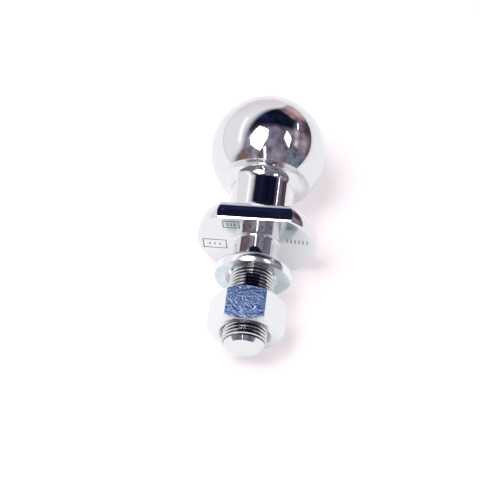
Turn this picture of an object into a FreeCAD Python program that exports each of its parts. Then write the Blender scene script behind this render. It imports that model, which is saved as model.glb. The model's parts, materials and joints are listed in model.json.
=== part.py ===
"""A trailer hitch's tow ball lying on its side: a one-piece ball stud, its split lock washer and its hex nut.

Each piece is built about its own local Z axis, which runs along the shank towards the ball.  Z = 0 is the
flange's seat face on the stud, the outer face of the nut, and the nut-side end of the washer's coil.  The
pieces are then placed along the shank, and laid down together until the ball and the lower wrench
flat touch the ground.
"""

import FreeCAD, Part
import math
import os

import Sketcher
from FreeCAD import Placement, Rotation, Vector

# Driving dimensions in millimetres, turns or degrees: alias, value and what it measures.
SIZES = [
    ("ball_diameter", 50.8, "coupling ball"),
    ("ball_height", 47.5, "ball centre above the seat face"),
    ("crown_diameter", 16.0, "small flat on top of the ball"),
    ("crown_round", 0.8, "rounding of the crown flat's edge"),
    ("neck_diameter", 28.0, "neck between flange and ball"),
    ("neck_root_round", 4.0, "fillet from flange to neck"),
    ("shoulder_height", 31.3, "flat underside of the ball above the seat face"),
    ("shoulder_edge_round", 0.5, "rounding between the ball and its flat underside"),
    ("ball_root_round", 4.5, "fillet from neck to the ball's underside"),
    ("flange_diameter", 51.8, "flange over its bulging rim"),
    ("flange_thickness", 8.9, "flange from seat face to back face"),
    ("rim_bulge", 11.0, "radius of the rim's bulge along the shank"),
    ("rim_crest", 3.0, "widest level of the rim above the seat face"),
    ("rim_seat_round", 1.2, "rounding of the rim's edge at the seat"),
    ("rim_back_round", 2.0, "rounding of the rim's edge on the ball's side"),
    ("wrench_size", 40.6, "across the two wrench flats on the flange"),
    ("wrench_back_round", 2.6, "rounding of each wrench flat's edge on the ball's side"),
    ("wrench_seat_round", 2.4, "radius of each wrench flat's gentle roll towards the seat"),
    ("wrench_start", 1.1, "where that roll meets the flat, above the seat face"),
    ("shank_diameter", 19.05, "plain shank, 3/4 in"),
    ("shank_length", 50.8, "seat face to shank end, 2 in"),
    ("shank_root_round", 1.0, "fillet from seat face to shank"),
    ("plain_shank_length", 11.0, "seat face to the end of the plain shank"),
    ("run_out_diameter", 19.0, "small end of the slight taper that follows the plain shank"),
    ("run_out_length", 2.2, "length of that taper"),
    ("relief_diameter", 16.7, "thread relief groove"),
    ("relief_length", 3.2, "thread relief groove with its two tapers"),
    ("end_diameter", 14.4, "flat end face of the shank"),
    ("thread_pitch", 1.5875, "16 threads per inch"),
    ("stud_crest_diameter", 18.9, "outside of the shank's thread"),
    ("stud_pitch_diameter", 17.85, "pitch cylinder of the shank's thread"),
    ("stud_root_diameter", 16.96, "bottom of the shank's thread"),
    ("nut_crest_diameter", 17.44, "bore of the nut"),
    ("nut_pitch_diameter", 18.17, "pitch cylinder of the nut's thread"),
    ("nut_root_diameter", 19.2, "bottom of the nut's thread"),
    ("cut_overshoot", 0.1, "how far a thread cut starts clear of its crest"),
    ("nut_size", 28.575, "nut across flats, 1 1/8 in"),
    ("nut_thickness", 16.27, "nut between its faces, 41/64 in"),
    ("nut_face_diameter", 27.4, "round flat face left by the nut's corner chamfer"),
    ("nut_chamfer_angle", 36.0, "slope of the corner chamfer"),
    ("countersink_diameter", 22.2, "mouth of the nut's bore"),
    ("threads_showing", 4, "whole threads between the nut and the shank end"),
    ("nut_clocking", 1.2, "turn of the nut's flats from the wrench flats"),
    ("washer_bore", 23.0, "inside of the lock washer"),
    ("washer_width", 4.8, "radial width of the washer's two faces"),
    ("washer_bulge", 4.9, "radius of the bulge of the washer's outer side"),
    ("washer_thickness", 4.4, "axial thickness of the washer's section"),
    ("washer_round", 0.45, "rounded edges of the washer's bore"),
    ("washer_rise", 2.0, "axial offset between the washer's two ends"),
    ("washer_turn", 0.975, "share of a full turn that the washer's coil covers"),
    ("washer_reach", 17.4, "seat face to the nut-side end of the washer"),
    ("washer_play", 0.4, "gap between the top of the shank and the washer's bore, where it hangs"),
    ("washer_clocking", 3.0, "turn of the washer's split below the level of the shank"),
    ("mark_depth", 0.25, "depth of the stamped marks in the seat face"),
    ("mark_line", 0.5, "width of a stamped line"),
]

# Stamped marks in the seat face: the middle, length and height of each plain frame, and the middle and height
# of each plain tick.
FRAMES = [(-18.1, 1.1, 10.4, 7.0), (-10.1, -15.0, 7.4, 5.4)]
TICKS = [
    (-20.3, 1.1, 1.8),
    (-18.1, 1.1, 1.8),
    (-15.9, 1.1, 1.8),
    (-11.6, -15.0, 2.4),
    (-10.1, -15.0, 2.4),
    (-8.6, -15.0, 2.4),
    (-4.6, -14.8, 2.4),
    (-1.9, -14.8, 2.4),
    (3.2, -14.6, 2.4),
    (6.8, -14.4, 2.4),
    (13.4, -4.9, 3.0),
    (15.1, -4.7, 3.0),
    (16.8, -4.5, 3.0),
    (18.5, -4.3, 3.0),
    (20.2, -4.1, 3.0),
    (21.9, -3.9, 3.0),
]

ORIGIN = -1  # Sketcher's number for the sketch origin, and for its horizontal axis
UPRIGHT = -2  # Sketcher's number for the sketch's vertical axis
START, END = 1, 2  # Sketcher's numbers for the ends of a line or an arc

doc = FreeCAD.newDocument("tow_ball")
sheet = doc.addObject("Spreadsheet::Sheet", "Sizes")


def fill_sheet():
    for row, (alias, size, meaning) in enumerate(SIZES, start=1):
        sheet.set(f"A{row}", meaning)
        sheet.set(f"B{row}", str(size))
        sheet.setAlias(f"B{row}", alias)
    doc.recompute()


def number(formula):
    """The value of a formula that names cells of the sheet."""
    answer = sheet.evalExpression(str(formula))
    return float(getattr(answer, "Value", answer))


def origin_item(body, role):
    return next(item for item in body.Origin.OriginFeatures if item.Role == role)


def new_body(label):
    body = doc.addObject("PartDesign::Body", label)
    body.Label = label
    return body


def sketch_on(body, name, role):
    sketch = body.newObject("Sketcher::SketchObject", name)
    sketch.AttachmentSupport = (origin_item(body, role), [""])
    sketch.MapMode = "FlatFace"
    return sketch


def tie_distance(sketch, kind, edge, point, formula):
    """Hold a point at a signed distance from the sketch origin, taken from the sheet."""
    if formula == "0":
        axis = UPRIGHT if kind == "DistanceX" else ORIGIN
        sketch.addConstraint(Sketcher.Constraint("PointOnObject", edge, point, axis))
        return
    place = Sketcher.Constraint(kind, ORIGIN, START, edge, point, number(formula))
    index = sketch.addConstraint(place)
    sketch.setExpression(f"Constraints[{index}]", formula)


def arc_between(begin, finish, radius):
    """The counterclockwise arc of at most half a turn from one point to another."""
    chord = finish - begin
    reach = math.sqrt(radius**2 - (chord.Length / 2) ** 2)
    centre = (begin + finish) / 2 + Vector(-chord.y, chord.x, 0).normalize() * reach
    angles = [math.atan2(point.y - centre.y, point.x - centre.x) for point in (begin, finish)]
    return Part.ArcOfCircle(Part.Circle(centre, Vector(0, 0, 1), radius), *angles)


def add_outline(sketch, corners, bends=None):
    """Add a closed outline whose corners are pairs of formulas.

    bends gives a radius for each side, counted from the first corner, that is a counterclockwise arc. The
    other sides are straight.
    """
    bends = bends or {}
    first = sketch.GeometryCount
    places = [Vector(number(across), number(up), 0) for across, up in corners]
    count = len(corners)
    for step in range(count):
        begin, finish = places[step], places[(step + 1) % count]
        if step in bends:
            sketch.addGeometry(arc_between(begin, finish, number(bends[step])), False)
        else:
            sketch.addGeometry(Part.LineSegment(begin, finish), False)
    for step in range(count):
        following = first + (step + 1) % count
        sketch.addConstraint(Sketcher.Constraint("Coincident", first + step, END, following, START))
    for step, (across, up) in enumerate(corners):
        tie_distance(sketch, "DistanceX", first + step, START, across)
        tie_distance(sketch, "DistanceY", first + step, START, up)
    for step, radius in bends.items():
        index = sketch.addConstraint(Sketcher.Constraint("Radius", first + step, number(radius)))
        sketch.setExpression(f"Constraints[{index}]", radius)


def outline(body, name, role, corners, bends=None):
    sketch = sketch_on(body, name, role)
    add_outline(sketch, corners, bends)
    return sketch


def box_corners(left, right, bottom, top):
    return [(left, bottom), (right, bottom), (right, top), (left, top)]


def turned(body, kind, name, sketch):
    """A full revolution or groove about the piece's axis."""
    feature = body.newObject(kind, name)
    feature.Profile = sketch
    feature.ReferenceAxis = (sketch, ["V_Axis"])
    feature.Angle = 360
    doc.recompute()
    return feature


def coiled(body, kind, name, sketch, pitch, height, left_handed):
    """A helical sweep about the piece's axis, starting at the sketch and rising along Z."""
    feature = body.newObject(kind, name)
    feature.Profile = sketch
    feature.ReferenceAxis = (sketch, ["V_Axis"])
    feature.Mode = "pitch-height-angle"
    feature.setExpression("Pitch", pitch)
    feature.setExpression("Height", height)
    feature.LeftHanded = left_handed
    doc.recompute()
    return feature


def cut_upwards(body, name, sketch, depth):
    """A pocket from the sketch's plane towards +Z."""
    pocket = body.newObject("PartDesign::Pocket", name)
    pocket.Profile = sketch
    pocket.Reversed = True
    pocket.setExpression("Length", depth)
    doc.recompute()
    return pocket


def rounded(body, name, base, wanted, radius):
    """Fillet the edges of a feature that pass a test."""
    edges = [f"Edge{index}" for index, edge in enumerate(base.Shape.Edges, start=1) if wanted(edge)]
    fillet = body.newObject("PartDesign::Fillet", name)
    fillet.Base = (base, edges)
    fillet.setExpression("Radius", radius)
    doc.recompute()
    return fillet


def ring_at(height, diameter):
    """A test for a circular edge about the Z axis, at this height and of this diameter."""
    level = number(height)
    radius = number(diameter) / 2

    def fits(edge):
        curve = edge.Curve
        if not isinstance(curve, Part.Circle) or abs(curve.Radius - radius) > 0.01:
            return False
        return abs(curve.Center.z - level) < 0.01 and math.hypot(curve.Center.x, curve.Center.y) < 0.01

    return fits


def make_ball(body):
    """The ball with its crown flat and flat underside, turned onto the neck."""
    radius = "Sizes.ball_diameter / 2"
    flat = "Sizes.crown_diameter / 2"
    crown = f"Sizes.ball_height + sqrt(({radius})^2 - ({flat})^2)"
    underside = "Sizes.shoulder_height"
    shoulder = f"sqrt(({radius})^2 - (Sizes.ball_height - {underside})^2)"
    corners = [("0", underside), (shoulder, underside), (flat, crown), ("0", crown)]
    shape = turned(
        body, "PartDesign::Revolution", "ball", outline(body, "ball_section", "XZ_Plane", corners, {1: radius})
    )
    shape = rounded(
        body, "ball_root_round", shape, ring_at(underside, "Sizes.neck_diameter"), "Sizes.ball_root_round"
    )
    shape = rounded(
        body, "shoulder_edge_round", shape, ring_at(underside, f"2 * {shoulder}"), "Sizes.shoulder_edge_round"
    )
    rounded(body, "crown_round", shape, ring_at(crown, "Sizes.crown_diameter"), "Sizes.crown_round")


def make_rim(body):
    """The flange's rim, turned to a bulge and rounded at both edges."""
    bulge = "Sizes.rim_bulge"
    thickness = "Sizes.flange_thickness"
    centre = f"(Sizes.flange_diameter / 2 - {bulge})"
    low = f"{centre} + sqrt({bulge}^2 - Sizes.rim_crest^2)"
    high = f"{centre} + sqrt({bulge}^2 - ({thickness} - Sizes.rim_crest)^2)"
    clear = "Sizes.flange_diameter"
    corners = [(low, "0"), (high, thickness), (clear, thickness), (clear, "0")]
    shape = turned(
        body, "PartDesign::Groove", "rim", outline(body, "rim_section", "XZ_Plane", corners, {0: bulge})
    )
    for name, level, edge in (("rim_seat_round", "0", low), ("rim_back_round", thickness, high)):
        shape = rounded(body, name, shape, ring_at(level, f"2 * ({edge})"), f"Sizes.{name}")


def cut_wrench_flats(body):
    """Two flats across the flange, rounded on the ball's side and rolled over a little at the seat."""
    flat = "Sizes.wrench_size / 2"
    top = "Sizes.flange_thickness"
    back = "Sizes.wrench_back_round"
    roll = "Sizes.wrench_seat_round"
    start = "Sizes.wrench_start"
    clear = "Sizes.flange_diameter"
    upper = [
        (f"{flat} - {roll} + sqrt({roll}^2 - {start}^2)", "0"),
        (flat, start),
        (flat, f"{top} - {back}"),
        (f"{flat} - {back}", top),
        (clear, top),
        (clear, "0"),
    ]
    lower = [(f"-({across})", up) for across, up in reversed(upper)]
    sketch = sketch_on(body, "wrench_outlines", "YZ_Plane")
    add_outline(sketch, upper, {0: roll, 2: back})
    add_outline(sketch, lower, {2: back, 4: roll})
    pocket = body.newObject("PartDesign::Pocket", "wrench_flats")
    pocket.Profile = sketch
    pocket.SideType = "Symmetric"
    pocket.Type = "ThroughAll"
    doc.recompute()


def thread_groove(body, crest, pitch_line, root, outward, start):
    """The section of a 60 degree thread groove with a flat bottom, centred on a height.

    outward is 1 where the groove opens away from the axis, as on the shank, and -1 where it opens towards
    the axis, as in the nut.
    """
    sign = "+" if outward > 0 else "-"
    mouth = f"({crest} / 2 {sign} Sizes.cut_overshoot)"
    floor = f"({root} / 2)"
    slope = f"{outward} * tan(30 deg)"
    half_mouth = f"(Sizes.thread_pitch / 4 + ({mouth} - {pitch_line} / 2) * {slope})"
    half_floor = f"(Sizes.thread_pitch / 4 + ({floor} - {pitch_line} / 2) * {slope})"
    corners = [
        (floor, f"{start} - {half_floor}"),
        (mouth, f"{start} - {half_mouth}"),
        (mouth, f"{start} + {half_mouth}"),
        (floor, f"{start} + {half_floor}"),
    ]
    return outline(body, "thread_groove", "XZ_Plane", corners)


def stamp_marks(body):
    """Plain frames and ticks pressed into the seat face."""
    sketch = sketch_on(body, "mark_outlines", "XY_Plane")
    for across, up, length, height in FRAMES:
        for inset in ("0", "Sizes.mark_line"):
            left = f"{across - length / 2} + {inset}"
            right = f"{across + length / 2} - {inset}"
            bottom = f"{up - height / 2} + {inset}"
            top = f"{up + height / 2} - {inset}"
            add_outline(sketch, box_corners(left, right, bottom, top))
    for across, up, height in TICKS:
        left, right = f"{across} - Sizes.mark_line / 2", f"{across} + Sizes.mark_line / 2"
        bottom, top = str(up - height / 2), str(up + height / 2)
        add_outline(sketch, box_corners(left, right, bottom, top))
    doc.recompute()
    return cut_upwards(body, "marks", sketch, "Sizes.mark_depth")


def make_stud():
    """Ball, neck, flange and threaded shank, forged and turned in one piece."""
    body = new_body("ball_stud")
    shank = "Sizes.shank_diameter / 2"
    crest = "Sizes.stud_crest_diameter / 2"
    run_out = "Sizes.run_out_diameter / 2"
    relief = "Sizes.relief_diameter / 2"
    end = "Sizes.end_diameter / 2"
    bottom = "-Sizes.shank_length"
    plain_end = "-Sizes.plain_shank_length"
    run_out_end = f"({plain_end} - Sizes.run_out_length)"
    thread_end = f"({run_out_end} - Sizes.relief_length)"
    corners = [
        ("0", bottom),
        (end, bottom),
        (crest, f"{bottom} + ({crest} - {end})"),
        (crest, thread_end),
        (relief, f"{thread_end} + ({crest} - {relief})"),
        (relief, f"{run_out_end} - ({run_out} - {relief})"),
        (run_out, run_out_end),
        (shank, plain_end),
        (shank, "0"),
        ("Sizes.flange_diameter / 2", "0"),
        ("Sizes.flange_diameter / 2", "Sizes.flange_thickness"),
        ("Sizes.neck_diameter / 2", "Sizes.flange_thickness"),
        ("Sizes.neck_diameter / 2", "Sizes.ball_height"),
        ("0", "Sizes.ball_height"),
    ]
    shape = turned(
        body, "PartDesign::Revolution", "shank_to_neck", outline(body, "section", "XZ_Plane", corners)
    )
    shape = rounded(
        body, "shank_root_round", shape, ring_at("0", "Sizes.shank_diameter"), "Sizes.shank_root_round"
    )
    neck_root = ring_at("Sizes.flange_thickness", "Sizes.neck_diameter")
    rounded(body, "neck_root_round", shape, neck_root, "Sizes.neck_root_round")
    make_ball(body)
    make_rim(body)
    cut_wrench_flats(body)
    stamp_marks(body)
    start = "(-Sizes.shank_length - 1.5 * Sizes.thread_pitch)"
    groove = thread_groove(
        body, "Sizes.stud_crest_diameter", "Sizes.stud_pitch_diameter", "Sizes.stud_root_diameter", 1, start
    )
    stop = f"({run_out_end} - Sizes.relief_length / 2)"
    height = f"{stop} - {start}"
    coiled(body, "PartDesign::SubtractiveHelix", "thread", groove, "Sizes.thread_pitch", height, False)
    return body


def make_nut():
    """Hex nut with chamfered corners, countersunk mouths and an internal thread."""
    body = new_body("hex_nut")
    corner = "Sizes.nut_size / sqrt(3)"
    half_flat = "Sizes.nut_size / 2"
    side = f"{corner} / 2"
    hexagon = [
        (corner, "0"),
        (side, half_flat),
        (f"-{side}", half_flat),
        (f"-{corner}", "0"),
        (f"-{side}", f"-{half_flat}"),
        (side, f"-{half_flat}"),
    ]
    blank = body.newObject("PartDesign::Pad", "blank")
    blank.Profile = outline(body, "hexagon", "XY_Plane", hexagon)
    blank.setExpression("Length", "Sizes.nut_thickness")
    doc.recompute()
    face = "Sizes.nut_face_diameter / 2"
    clear = "Sizes.nut_size"
    drop = f"({clear} - {face}) * tan(Sizes.nut_chamfer_angle * 1 deg)"
    for name, level, inward in (("outer", "0", "+"), ("inner", "Sizes.nut_thickness", "-")):
        wedge = [(face, level), (clear, level), (clear, f"{level} {inward} {drop}")]
        section = outline(body, f"{name}_chamfer_section", "XZ_Plane", wedge)
        turned(body, "PartDesign::Groove", f"{name}_chamfer", section)
    bore = "Sizes.nut_crest_diameter / 2"
    mouth = "Sizes.countersink_diameter / 2"
    top = "Sizes.nut_thickness"
    hole = [
        ("0", "0"),
        (mouth, "0"),
        (bore, f"{mouth} - {bore}"),
        (bore, f"{top} - ({mouth} - {bore})"),
        (mouth, top),
        ("0", top),
    ]
    turned(body, "PartDesign::Groove", "bore", outline(body, "bore_section", "XZ_Plane", hole))
    start = "(-Sizes.thread_pitch)"
    groove = thread_groove(
        body, "Sizes.nut_crest_diameter", "Sizes.nut_pitch_diameter", "Sizes.nut_root_diameter", -1, start
    )
    height = f"{top} + 2 * Sizes.thread_pitch"
    coiled(body, "PartDesign::SubtractiveHelix", "thread", groove, "Sizes.thread_pitch", height, False)
    return body


def washer_section(body):
    """The washer's section: rounded at the bore's edges, with an outer side that bulges a little."""
    left = "Sizes.washer_bore / 2"
    right = f"({left} + Sizes.washer_width)"
    top = "Sizes.washer_thickness"
    bend = "Sizes.washer_round"
    corners = [
        (f"{left} + {bend}", "0"),
        (right, "0"),
        (right, top),
        (f"{left} + {bend}", top),
        (left, f"{top} - {bend}"),
        (left, bend),
    ]
    return outline(body, "section", "XZ_Plane", corners, {1: "Sizes.washer_bulge", 3: bend, 5: bend})


def make_washer():
    """Split lock washer: one left-handed turn of spring steel whose ends stand apart."""
    body = new_body("lock_washer")
    section = washer_section(body)
    pitch = "Sizes.washer_rise / Sizes.washer_turn"
    coiled(body, "PartDesign::AdditiveHelix", "coil", section, pitch, "Sizes.washer_rise", True)
    return body


def lying_tilt():
    """The shank's slope, in degrees, when the ball and the lower wrench flat's roll touch the ground."""
    along = number("Sizes.ball_height - Sizes.wrench_start")
    down = number("Sizes.wrench_size / 2 - Sizes.wrench_seat_round")
    sine = number("Sizes.ball_diameter / 2 - Sizes.wrench_seat_round") / math.hypot(along, down)
    return math.degrees(math.asin(sine) - math.atan2(down, along))


def lay_down(body, height, drop, clocking):
    """Place a piece on the shank, then lay the shank along Y with the ball end raised by its tilt."""
    along_shank = Placement(Vector(0, drop, height), Rotation(Vector(0, 0, 1), clocking))
    lying = Placement(Vector(0, 0, 0), Rotation(Vector(1, 0, 0), lying_tilt() - 90))
    body.Placement = lying.multiply(along_shank)


def check_document():
    for item in doc.Objects:
        if "Invalid" in item.State or "Error" in item.State:
            raise RuntimeError(f"{item.Name} failed: {item.State}")


def export(bodies):
    os.makedirs("parts", exist_ok=True)
    for body in bodies:
        shape = body.Shape
        if shape.isNull() or not shape.isValid() or len(shape.Solids) != 1:
            raise RuntimeError(f"{body.Label} is not one valid solid")
        shape.exportStep(f"parts/{body.Label}.step")
        print(f"{body.Label}: {shape.Volume:.1f} mm3")


fill_sheet()
stud = make_stud()
nut = make_nut()
washer = make_washer()
clocking = number("Sizes.nut_clocking")
nut_advance = number("Sizes.thread_pitch * (Sizes.threads_showing + Sizes.nut_clocking / 360)")
washer_drop = number("(Sizes.washer_bore - Sizes.shank_diameter) / 2 - Sizes.washer_play")
lay_down(stud, 0, 0, 0)
lay_down(nut, nut_advance - number("Sizes.shank_length"), 0, clocking)
lay_down(washer, -number("Sizes.washer_reach"), washer_drop, number("Sizes.washer_clocking"))
doc.recompute()
check_document()
export([stud, washer, nut])
print(f"tilt {lying_tilt():.3f} degrees")
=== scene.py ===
import json
import math

import bpy
from mathutils import Matrix, Vector


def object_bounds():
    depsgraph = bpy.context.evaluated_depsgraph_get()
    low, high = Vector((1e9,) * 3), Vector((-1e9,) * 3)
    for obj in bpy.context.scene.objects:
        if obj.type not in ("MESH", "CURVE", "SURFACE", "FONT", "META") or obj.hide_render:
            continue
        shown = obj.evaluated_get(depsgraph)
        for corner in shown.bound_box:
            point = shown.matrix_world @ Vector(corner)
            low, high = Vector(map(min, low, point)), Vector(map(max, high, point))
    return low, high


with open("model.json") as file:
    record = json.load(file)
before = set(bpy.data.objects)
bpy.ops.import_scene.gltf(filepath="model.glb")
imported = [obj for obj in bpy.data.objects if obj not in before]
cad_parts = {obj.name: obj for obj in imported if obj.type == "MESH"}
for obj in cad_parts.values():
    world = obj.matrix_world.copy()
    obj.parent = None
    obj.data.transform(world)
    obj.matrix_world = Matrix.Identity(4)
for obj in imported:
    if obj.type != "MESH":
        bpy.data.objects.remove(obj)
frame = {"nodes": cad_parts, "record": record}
cad_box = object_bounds()

MM = 0.001
WHITE = (1.0, 1.0, 1.0)
CHROME = (0.80, 0.80, 0.815)
# Painted shade, laid into the thread's roots and the floors of the stamped marks.
CHROME_PAINTED_SHADE = (0.07, 0.07, 0.09)
WASHER_TEAL = (0.60, 0.69, 0.71)
WASHER_PALE = (0.80, 0.85, 0.86)
WASHER_RIM = (0.90, 0.90, 0.92)
NUT_PALE = (0.83, 0.85, 0.85)
# The nut's uppermost flat is painted blue as the reflection of the room above, flecked with painted
# glints.
NUT_PAINTED_BLUE = (0.11, 0.18, 0.48)
NUT_PAINTED_GLINT = (0.52, 0.67, 0.95)

# The shank's direction and the pieces' sizes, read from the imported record.
mounts = {mount["name"]: mount for mount in frame["record"]["mounts"]}
SEAT = Vector(mounts["seat"]["pos_m"])
TO_BALL = -Vector(mounts["seat"]["axis"]).normalized()
BALL_CENTRE = Vector(mounts["ball"]["pos_m"])
SHANK_UP = Vector((0.0, -TO_BALL.z, TO_BALL.y))
FLOOR_LEVEL = cad_box[0][2]

# Places on the pieces. Heights are along the shank from the seat face, positive towards the ball.
FLANGE_TOP = 8.9 * MM
THREAD_TOP = -16.4 * MM
THREAD_FOOT = -49.0 * MM
# Painted shade darkens the thread's roots within the first radius, and they are bright from the second.
THREAD_DARK_RADIUS = 8.5 * MM
THREAD_BRIGHT_RADIUS = 9.3 * MM
# How far above the shank's centre line the nut's painted blue reflection begins, just under its
# uppermost flat.
NUT_BLUE_RISE = 13.8 * MM
WASHER_FACE_RADIUS = 16.3 * MM
# The washer hangs on the shank, so its own centre line lies this far below the shank's.
WASHER_DROP = 1.575 * MM

# The table's own colour and the light that comes up through it, as the camera and as the metal see them.
TABLE_SEEN = (0.60, 0.60, 0.60)
TABLE_MIRRORED = (0.54, 0.54, 0.54)
GLOW_SEEN = (0.54, 0.48, 0.50)
GLOW_MIRRORED = (0.51, 0.51, 0.52)

# The camera stands about 0.9 m off and looks down past the shank end.
CAMERA_AZIMUTH = 10.47
CAMERA_ELEVATION = 51.83
CAMERA_ROLL = -4.55
CAMERA_DISTANCE = 0.8908
CAMERA_TARGET = SEAT + Vector((-7.2, 0.79, 1.5)) * MM
SENSOR_MM = 36.0
LENS_MM = 155.6


# ---------------------------------------------------------------- node helpers


class Graph:
    """A node tree with short calls to add and join nodes."""

    def __init__(self, tree):
        self.tree = tree
        tree.nodes.clear()

    def add(self, kind, **settings):
        node = self.tree.nodes.new(kind)
        for name, value in settings.items():
            setattr(node, name, value)
        return node

    def join(self, output, socket):
        self.tree.links.new(output, socket)

    def math(self, operation, first, second=None):
        node = self.add("ShaderNodeMath", operation=operation)
        for socket, value in zip(node.inputs, (first, second)):
            self.feed(socket, value)
        return node.outputs[0]

    def feed(self, socket, value):
        if value is None:
            return
        if isinstance(value, bpy.types.NodeSocket):
            self.join(value, socket)
        else:
            socket.default_value = value

    def vector(self, operation, *values):
        """A vector operation's result, from values given in the order of its sockets."""
        node = self.add("ShaderNodeVectorMath", operation=operation)
        for socket, value in zip(node.inputs, values):
            self.feed(socket, value)
        scalar = operation in ("DOT_PRODUCT", "LENGTH")
        return node.outputs["Value" if scalar else "Vector"]

    def step(self, value, low, high):
        """0 below low and 1 above high, smooth between them."""
        node = self.add("ShaderNodeMapRange", interpolation_type="SMOOTHSTEP")
        for socket, number in zip(node.inputs, (value, low, high, 0.0, 1.0)):
            self.feed(socket, number)
        return node.outputs[0]

    def span(self, value, low, high, to_low, to_high):
        """A value between low and high, carried over to lie between to_low and to_high."""
        node = self.add("ShaderNodeMapRange")
        for socket, number in zip(node.inputs, (value, low, high, to_low, to_high)):
            self.feed(socket, number)
        return node.outputs[0]

    def scale(self, colour, factor):
        """A colour made brighter or darker."""
        node = self.add("ShaderNodeVectorMath", operation="SCALE")
        self.feed(node.inputs[0], colour)
        self.feed(node.inputs["Scale"], factor)
        return node.outputs[0]

    def mix(self, factor, first, second):
        node = self.add("ShaderNodeMix", data_type="RGBA")
        self.feed(node.inputs["Factor"], factor)
        for name, value in (("A", first), ("B", second)):
            socket = [s for s in node.inputs if s.name == name and s.type == "RGBA"][0]
            self.feed(socket, value if isinstance(value, bpy.types.NodeSocket) else (*value, 1.0))
        return [s for s in node.outputs if s.type == "RGBA"][0]

    def noise(self, where, scale, detail=2.0, roughness=0.5):
        node = self.add("ShaderNodeTexNoise")
        node.inputs["Scale"].default_value = scale
        node.inputs["Detail"].default_value = detail
        node.inputs["Roughness"].default_value = roughness
        self.join(where, node.inputs["Vector"])
        return node.outputs["Fac"]

    def bump(self, height, distance, base=None):
        """A normal for a relief of height 0 to 1 that is distance metres deep, over a base normal."""
        node = self.add("ShaderNodeBump")
        node.inputs["Distance"].default_value = distance
        self.join(height, node.inputs["Height"])
        if base is not None:
            self.join(base, node.inputs["Normal"])
        return node.outputs[0]


def new_material(name):
    material = bpy.data.materials.new(name)
    material.use_nodes = True
    return material, Graph(material.node_tree)


def metal(graph, colour, roughness, normal):
    """A metallic surface, wired to the material's output."""
    shader = graph.add("ShaderNodeBsdfPrincipled")
    shader.inputs["Metallic"].default_value = 1.0
    graph.feed(shader.inputs["Base Color"], colour)
    graph.feed(shader.inputs["Roughness"], roughness)
    graph.join(normal, shader.inputs["Normal"])
    output = graph.add("ShaderNodeOutputMaterial")
    graph.join(shader.outputs[0], output.inputs["Surface"])


def give(node_name, material):
    """Dress a CAD node in one material."""
    piece = frame["nodes"][node_name]
    for slot in piece.material_slots:
        slot.material = material
    if not piece.material_slots:
        piece.data.materials.append(material)


# ---------------------------------------------------------------- materials


def shank_places(graph, where, centre=SEAT):
    """A point's height above centre along the shank, and how far it is from the line through centre."""
    offset = graph.vector("SUBTRACT", where, centre)
    height = graph.vector("DOT_PRODUCT", offset, TO_BALL)
    radius = graph.vector("LENGTH", graph.vector("CROSS_PRODUCT", offset, TO_BALL))
    return height, radius


def faces_seat(graph):
    """1 on the faces turned square to the shank that look towards its end, and 0 elsewhere."""
    normal = graph.add("ShaderNodeNewGeometry").outputs["True Normal"]
    return graph.step(graph.vector("DOT_PRODUCT", normal, -TO_BALL), 0.95, 0.99)


def crowned_flats(graph, height):
    """The surface's normal, leaning towards the ball on the back half of the crowned wrench flats."""
    crown = 0.15
    normal = graph.add("ShaderNodeNewGeometry").outputs["Normal"]
    turn = graph.math("ABSOLUTE", graph.vector("DOT_PRODUCT", normal, SHANK_UP))
    on_flat = graph.step(turn, 0.97, 0.995)
    on_back_half = graph.step(height, 3.8 * MM, 5.6 * MM)
    on_flange = graph.step(height, FLANGE_TOP + 1.1 * MM, FLANGE_TOP + 0.1 * MM)
    on_flange = graph.math("MULTIPLY", on_back_half, on_flange)
    lean = graph.math("MULTIPLY", graph.math("MULTIPLY", on_flat, on_flange), crown)
    return graph.vector("NORMALIZE", graph.vector("MULTIPLY_ADD", TO_BALL, lean, normal))


def chrome():
    """Polished chrome with a faint orange peel and a few specks.

    It is less polished on the turned seat and end faces. The thread's roots and the floors of the
    stamped marks are painted dark, as painted shade.
    """
    material, graph = new_material("chrome_plate")
    where = graph.add("ShaderNodeTexCoord").outputs["Object"]
    smudges = graph.noise(where, 60.0, detail=4.0, roughness=0.6)
    roughness = graph.span(smudges, 0.35, 0.7, 0.02, 0.08)
    height, radius = shank_places(graph, where)
    flats = crowned_flats(graph, height)
    waves = graph.bump(graph.noise(where, 90.0, detail=1.0), 0.07 * MM, base=flats)
    normal = graph.bump(graph.noise(where, 700.0), 0.007 * MM, base=waves)
    # Painted shade: the thread's roots are darkened, between the thread's top and its foot.
    root_shade = graph.span(radius, THREAD_DARK_RADIUS, THREAD_BRIGHT_RADIUS, 1.0, 0.0)
    below_relief = graph.step(height, THREAD_TOP + 0.2 * MM, THREAD_TOP - 0.4 * MM)
    above_end = graph.step(height, THREAD_FOOT - 0.2 * MM, THREAD_FOOT + 0.2 * MM)
    root_shade = graph.math("MULTIPLY", graph.math("MULTIPLY", root_shade, below_relief), above_end)
    turned = graph.math("MULTIPLY", faces_seat(graph), graph.step(height, 1.0 * MM, 0.8 * MM))
    # The floors of the stamped marks lie 0.25 mm above the seat face, and are painted dark as shade.
    stamped = graph.step(height, 0.08 * MM, 0.16 * MM)
    stamped = graph.math("MULTIPLY", graph.math("MULTIPLY", turned, stamped), 0.75)
    specks = graph.step(graph.noise(where, 2200.0, detail=0.0), 0.79, 0.82)
    roughness = graph.math("MAXIMUM", roughness, graph.math("MULTIPLY", turned, 0.13))
    roughness = graph.math("MAXIMUM", roughness, graph.math("MULTIPLY", specks, 0.25))
    # Where the painted shade of the roots and the stamped marks lies.
    painted_hollow_shade = graph.math("MAXIMUM", root_shade, stamped)
    metal(graph, graph.mix(painted_hollow_shade, CHROME, CHROME_PAINTED_SHADE), roughness, normal)
    return material


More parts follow.
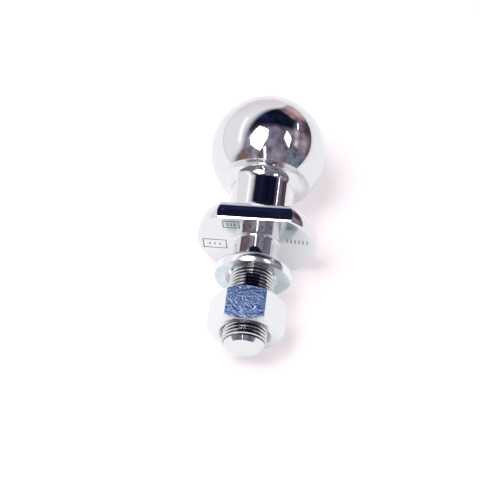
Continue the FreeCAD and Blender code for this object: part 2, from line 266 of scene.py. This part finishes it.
def washer_zinc():
    """Bright zinc, smooth and faintly teal, and paler on the coil's outer side."""
    material, graph = new_material("zinc_plate_washer")
    where = graph.add("ShaderNodeTexCoord").outputs["Object"]
    normal = graph.bump(graph.noise(where, 300.0), 0.06 * MM)
    _, radius = shank_places(graph, where, SEAT - SHANK_UP * WASHER_DROP)
    rim = graph.step(radius, WASHER_FACE_RADIUS - 0.05 * MM, WASHER_FACE_RADIUS + 0.1 * MM)
    clouds = graph.step(graph.noise(where, 70.0), 0.4, 0.6)
    tint = graph.mix(clouds, WASHER_TEAL, WASHER_PALE)
    metal(graph, graph.mix(rim, tint, WASHER_RIM), 0.2, normal)
    return material


def nut_zinc():
    """Bright zinc with a fine grain, its uppermost flat painted blue as the room's reflection and
    flecked with painted glints.
    """
    material, graph = new_material("zinc_plate_nut")
    where = graph.add("ShaderNodeTexCoord").outputs["Object"]
    grain = graph.noise(where, 1900.0, roughness=0.6)
    normal = graph.bump(grain, 0.08 * MM)
    rise = graph.vector("DOT_PRODUCT", where, SHANK_UP)
    # Painted reflection: the uppermost flat is painted blue, with painted glints where the grain is
    # high.
    blue = graph.step(rise, NUT_BLUE_RISE, NUT_BLUE_RISE + 0.3 * MM)
    painted_reflection = graph.mix(graph.step(grain, 0.42, 0.60), NUT_PAINTED_BLUE, NUT_PAINTED_GLINT)
    metal(graph, graph.mix(blue, NUT_PALE, painted_reflection), 0.17, normal)
    return material


give("ball_stud", chrome())
give("lock_washer", washer_zinc())
give("hex_nut", nut_zinc())


# ---------------------------------------------------------------- studio


def show(object_, material):
    """Put a piece of the studio in the scene, dressed."""
    object_.data.materials.append(material)
    bpy.context.scene.collection.objects.link(object_)


def glow(name, strength):
    material, graph = new_material(name)
    shader = graph.add("ShaderNodeEmission")
    shader.inputs["Color"].default_value = (*WHITE, 1.0)
    shader.inputs["Strength"].default_value = strength
    output = graph.add("ShaderNodeOutputMaterial")
    graph.join(shader.outputs[0], output.inputs["Surface"])
    return material


def white_table():
    """White acrylic, lit from below as well as from above, so its shadows stay light and a little pink.

    Its mirror images in the metal are a shade darker and neutral, as those of a matt white sheet are.
    """
    material, graph = new_material("white_table")
    seen = graph.add("ShaderNodeLightPath").outputs["Is Camera Ray"]
    surface = graph.add("ShaderNodeBsdfDiffuse")
    graph.join(graph.mix(seen, TABLE_MIRRORED, TABLE_SEEN), surface.inputs["Color"])
    below = graph.add("ShaderNodeEmission")
    graph.join(graph.mix(seen, GLOW_MIRRORED, GLOW_SEEN), below.inputs["Color"])
    both = graph.add("ShaderNodeAddShader")
    graph.join(surface.outputs[0], both.inputs[0])
    graph.join(below.outputs[0], both.inputs[1])
    output = graph.add("ShaderNodeOutputMaterial")
    graph.join(both.outputs[0], output.inputs["Surface"])
    return material


def make_floor():
    half = 6.0
    mesh = bpy.data.meshes.new("floor")
    corners = [(-half, -half, 0), (half, -half, 0), (half, half, 0), (-half, half, 0)]
    mesh.from_pydata(corners, [], [(0, 1, 2, 3)])
    floor = bpy.data.objects.new("floor", mesh)
    floor.location.z = FLOOR_LEVEL
    show(floor, white_table())


def make_softbox(name, outline, height, strength):
    """A glowing panel that faces down, height metres above the ball's centre.

    outline holds its corners across and along the shank, as shares of that height.
    """
    mesh = bpy.data.meshes.new(name)
    corners = [(across * height, along * height, height) for across, along in outline]
    mesh.from_pydata(corners, [], [tuple(reversed(range(len(corners))))])
    panel = bpy.data.objects.new(name, mesh)
    panel.location = BALL_CENTRE
    panel.visible_camera = False
    show(panel, glow(name, strength))


def facing(azimuth, elevation):
    """The unit vector towards a place in the room: azimuth 0 is along +Y and 90 along +X."""
    turn, rise = math.radians(azimuth), math.radians(elevation)
    return Vector((math.sin(turn) * math.cos(rise), math.cos(turn) * math.cos(rise), math.sin(rise)))


def wall_patch(graph, direction, azimuth, elevation, left, right, bottom, top, soft):
    """A mask for a soft-edged window on a plane at distance 1 that faces the object."""
    towards = facing(azimuth, elevation)
    across = facing(azimuth + 90.0, 0.0)
    upwards = across.cross(towards)

    ahead = graph.math("MAXIMUM", graph.vector("DOT_PRODUCT", direction, towards), 0.0001)
    sideways = graph.math("DIVIDE", graph.vector("DOT_PRODUCT", direction, across), ahead)
    rise = graph.math("DIVIDE", graph.vector("DOT_PRODUCT", direction, upwards), ahead)
    inside = graph.step(sideways, left - soft, left + soft)
    inside = graph.math("MULTIPLY", inside, graph.step(sideways, right + soft, right - soft))
    inside = graph.math("MULTIPLY", inside, graph.step(rise, bottom - soft, bottom + soft))
    return graph.math("MULTIPLY", inside, graph.step(rise, top + soft, top - soft))


# What stands round the table: where it faces from, its left, right, bottom and top edges on a plane at
# distance 1, the softness of its edges, and its colour.
DARK_ROOM = [
    ("navy wall", -12, 50, -3.0, 1.15, -0.6, 0.50, 0.20, (0.009, 0.011, 0.032)),
    ("blue haze", -15, 50, -1.5, 0.08, -0.20, 0.06, 0.10, (0.026, 0.042, 0.15)),
    ("camera side", 180, 35, -1.6, 1.6, -1.5, 0.5, 0.5, (0.28, 0.245, 0.32)),
    ("right corner", 62, 0, -0.55, 0.75, -0.5, 0.30, 0.10, (0.14, 0.10, 0.15)),
    ("brown door", 25, 0, -0.17, 0.19, -0.2, 0.54, 0.13, (0.53, 0.33, 0.30)),
    ("grey shelf", 82, 0, -0.4, 0.3, 0.14, 0.45, 0.12, (0.32, 0.25, 0.30)),
    ("pink haze", 80, 36, -0.3, 0.25, -0.12, 0.02, 0.08, (0.85, 0.68, 0.75)),
    ("stand", 116, 0, -0.22, 0.2, 0.02, 0.6, 0.12, (0.17, 0.2, 0.27)),
    ("grey chair", -148, 0, -0.35, 0.25, 0.55, 0.95, 0.12, (0.36, 0.33, 0.38)),
]
WHITE_SWEEP = [
    ("sweep", -62, 0, -1.35, 3.3, -1.0, 1.25, 0.38, (1.10, 1.09, 1.12)),
    ("sweep top", -72, 0, -0.55, 0.6, 0.72, 0.92, 0.08, (1.5, 1.5, 1.5)),
    ("orange chair", -131, 0, -0.14, 0.2, 0.28, 0.72, 0.10, (0.25, 0.175, 0.155)),
    ("sweep end", -14, 0, -0.45, 0.45, -0.2, 0.42, 0.28, (1.0, 0.92, 0.97)),
]
DARK_PURPLE = (0.23, 0.20, 0.29)
BEYOND_TABLE = (1.3, 1.3, 1.3)
ROOM_STRENGTH = 0.83


def add_patches(graph, direction, colour, patches):
    """Lay the patches over a colour, each over those before it."""
    for _, azimuth, elevation, left, right, bottom, top, soft, paint in patches:
        mask = wall_patch(graph, direction, azimuth, elevation, left, right, bottom, top, soft)
        colour = graph.mix(mask, colour, paint)
    return colour


def make_room():
    """A white sweep to the left and behind, and a dark, cluttered room above and to the right."""
    world = bpy.data.worlds.new("studio_room")
    bpy.context.scene.world = world
    world.use_nodes = True
    graph = Graph(world.node_tree)
    direction = graph.add("ShaderNodeTexCoord").outputs["Generated"]
    colour = add_patches(graph, direction, DARK_PURPLE, DARK_ROOM)
    clutter = graph.noise(direction, 3.5, detail=3.0, roughness=0.6)
    colour = graph.scale(colour, graph.span(clutter, 0.35, 0.68, 0.45, 1.7))
    colour = add_patches(graph, direction, colour, WHITE_SWEEP)
    seen = graph.add("ShaderNodeLightPath").outputs["Is Camera Ray"]
    background = graph.add("ShaderNodeBackground")
    graph.join(graph.mix(seen, colour, BEYOND_TABLE), background.inputs["Color"])
    background.inputs["Strength"].default_value = ROOM_STRENGTH
    output = graph.add("ShaderNodeOutputWorld")
    graph.join(background.outputs[0], output.inputs["Surface"])


def make_camera():
    azimuth = math.radians(CAMERA_AZIMUTH)
    elevation = math.radians(CAMERA_ELEVATION)
    away = Vector(
        (
            math.sin(azimuth) * math.cos(elevation),
            -math.cos(azimuth) * math.cos(elevation),
            math.sin(elevation),
        )
    )
    data = bpy.data.cameras.new("camera")
    data.sensor_width = SENSOR_MM
    data.lens = LENS_MM
    data.clip_start = 0.01
    camera = bpy.data.objects.new("camera", data)
    camera.location = CAMERA_TARGET + away * CAMERA_DISTANCE
    roll = Matrix.Rotation(math.radians(CAMERA_ROLL), 3, "Z")
    camera.rotation_euler = ((-away).to_track_quat("-Z", "Y").to_matrix() @ roll).to_euler()
    bpy.context.scene.collection.objects.link(camera)
    bpy.context.scene.camera = camera


# The panels: name, corners, height in metres and strength.
PANELS = [
    (
        "key_softbox",
        [(-0.63, -0.13), (-0.26, 0.25), (0.02, 0.12), (0.03, -0.17), (-0.24, -0.73), (-0.62, -0.45)],
        1.2,
        6.5,
    ),
    ("side_softbox", [(0.70, 0.28), (1.01, 0.08), (1.06, -0.42), (0.65, -0.05)], 1.2, 4.0),
    ("front_strip", [(-0.075, -0.52), (0.005, -0.52), (0.035, -1.09), (-0.045, -1.09)], 1.2, 4.0),
    ("low_strip", [(-0.12, -1.35), (-0.07, -1.35), (-0.22, -2.6), (-0.30, -2.6)], 1.2, 3.0),
    ("side_strip", [(1.56, 1.56), (1.66, 1.52), (1.58, 0.88), (1.48, 0.92)], 1.0, 4.0),
]

make_camera()
make_floor()
make_room()
for panel_name, panel_outline, panel_height, panel_strength in PANELS:
    make_softbox(panel_name, panel_outline, panel_height, panel_strength)
bpy.context.scene.view_settings.view_transform = "Standard"
